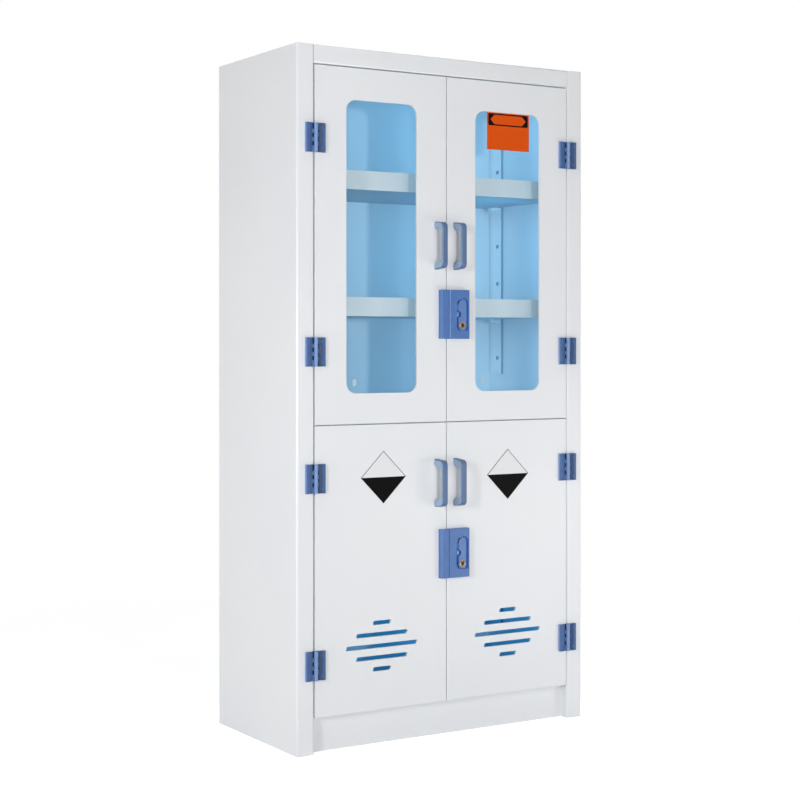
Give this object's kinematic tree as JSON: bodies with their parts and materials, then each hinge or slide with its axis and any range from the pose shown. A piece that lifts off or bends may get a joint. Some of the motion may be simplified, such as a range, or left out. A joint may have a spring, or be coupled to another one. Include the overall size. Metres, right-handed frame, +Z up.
{
  "type": "reagent storage cabinet",
  "caption": "Tall free-standing white plastic reagent cabinet with glazed upper doors, vented lower doors, blue hinges, bow handles and slide locks, and adjustable tray shelves.",
  "frame": {"origin": "on the floor under the middle of the whole cabinet, handles included", "axes": "+X to the right across the front, +Y from the front to the back, +Z up"},
  "size_m": [0.9, 0.492, 1.8],
  "materials": {
    "white_sheet": "satin",
    "blue_moulding": "semi-gloss, fine moulded grain",
    "hinge_pin": "satin",
    "window_glass": "clear",
    "brass_cylinder": "worn satin"
  },
  "bodies": {
    "cabinet_body": {"left_side_panel": "white_sheet", "right_side_panel": "white_sheet", "top_panel": "white_sheet", "back_panel": "white_sheet", "middle_panel": "white_sheet", "bottom_panel": "white_sheet", "plinth_panel": "white_sheet", "upper_post_front_left": "white_sheet", "upper_post_front_right": "white_sheet", "upper_post_back_left": "white_sheet", "upper_post_back_right": "white_sheet", "lower_post_front_left": "white_sheet", "lower_post_front_right": "white_sheet", "lower_post_back_left": "white_sheet", "lower_post_back_right": "white_sheet", "top_shelf": "white_sheet", "top_shelf_pegs": "white_sheet", "middle_shelf": "white_sheet", "middle_shelf_pegs": "white_sheet", "lower_shelf": "white_sheet", "lower_shelf_pegs": "white_sheet", "upper_left_hinge_frame_leaves": "blue_moulding", "upper_left_hinge_pins": "hinge_pin", "upper_right_hinge_frame_leaves": "blue_moulding", "upper_right_hinge_pins": "hinge_pin", "lower_left_hinge_frame_leaves": "blue_moulding", "lower_left_hinge_pins": "hinge_pin", "lower_right_hinge_frame_leaves": "blue_moulding", "lower_right_hinge_pins": "hinge_pin"},
    "upper_left_door_body": {"upper_left_door": "white_sheet", "upper_left_pane": "window_glass", "upper_left_pane_retainer": "white_sheet", "upper_left_handle": "blue_moulding", "upper_left_hinge_door_leaves": "blue_moulding", "upper_keeper": "blue_moulding"},
    "upper_right_door_body": {"upper_right_door": "white_sheet", "upper_right_pane": "window_glass", "upper_right_pane_retainer": "white_sheet", "upper_right_handle": "blue_moulding", "upper_right_hinge_door_leaves": "blue_moulding", "upper_lock_body": "blue_moulding"},
    "upper_bolt_body": {"upper_lock_bolt": "blue_moulding"},
    "upper_cylinder_body": {"upper_key_cylinder": "brass_cylinder"},
    "lower_left_door_body": {"lower_left_door": "white_sheet", "lower_left_handle": "blue_moulding", "lower_left_hinge_door_leaves": "blue_moulding", "lower_keeper": "blue_moulding"},
    "lower_right_door_body": {"lower_right_door": "white_sheet", "lower_right_handle": "blue_moulding", "lower_right_hinge_door_leaves": "blue_moulding", "lower_lock_body": "blue_moulding"},
    "lower_bolt_body": {"lower_lock_bolt": "blue_moulding"},
    "lower_cylinder_body": {"lower_key_cylinder": "brass_cylinder"}
  },
  "joints": [
    {"name": "upper_left_door_hinge", "type": "hinge", "parent": "cabinet_body", "child": "upper_left_door_body", "pos_m": [-0.3985, -0.2117, 0.9], "axis": [0, 0, -1], "range_deg": [0, 165]},
    {"name": "upper_right_door_hinge", "type": "hinge", "parent": "cabinet_body", "child": "upper_right_door_body", "pos_m": [0.3985, -0.2117, 0.9], "axis": [0, 0, 1], "range_deg": [0, 165]},
    {"name": "lower_left_door_hinge", "type": "hinge", "parent": "cabinet_body", "child": "lower_left_door_body", "pos_m": [-0.3985, -0.2117, 0.9], "axis": [0, 0, -1], "range_deg": [0, 165]},
    {"name": "lower_right_door_hinge", "type": "hinge", "parent": "cabinet_body", "child": "lower_right_door_body", "pos_m": [0.3985, -0.2117, 0.9], "axis": [0, 0, 1], "range_deg": [0, 165]},
    {"name": "upper_bolt_slide", "type": "slide", "parent": "upper_right_door_body", "child": "upper_bolt_body", "axis": [-1, 0, 0], "range_m": [0, 0.006]},
    {"name": "upper_key_turn", "type": "hinge", "parent": "upper_bolt_body", "child": "upper_cylinder_body", "pos_m": [0.041, -0.2117, 1.0905], "axis": [0, -1, 0], "range_deg": [0, 90]},
    {"name": "lower_bolt_slide", "type": "slide", "parent": "lower_right_door_body", "child": "lower_bolt_body", "axis": [-1, 0, 0], "range_m": [0, 0.006]},
    {"name": "lower_key_turn", "type": "hinge", "parent": "lower_bolt_body", "child": "lower_cylinder_body", "pos_m": [0.041, -0.2117, 0.4565], "axis": [0, -1, 0], "range_deg": [0, 90]}
  ]
}
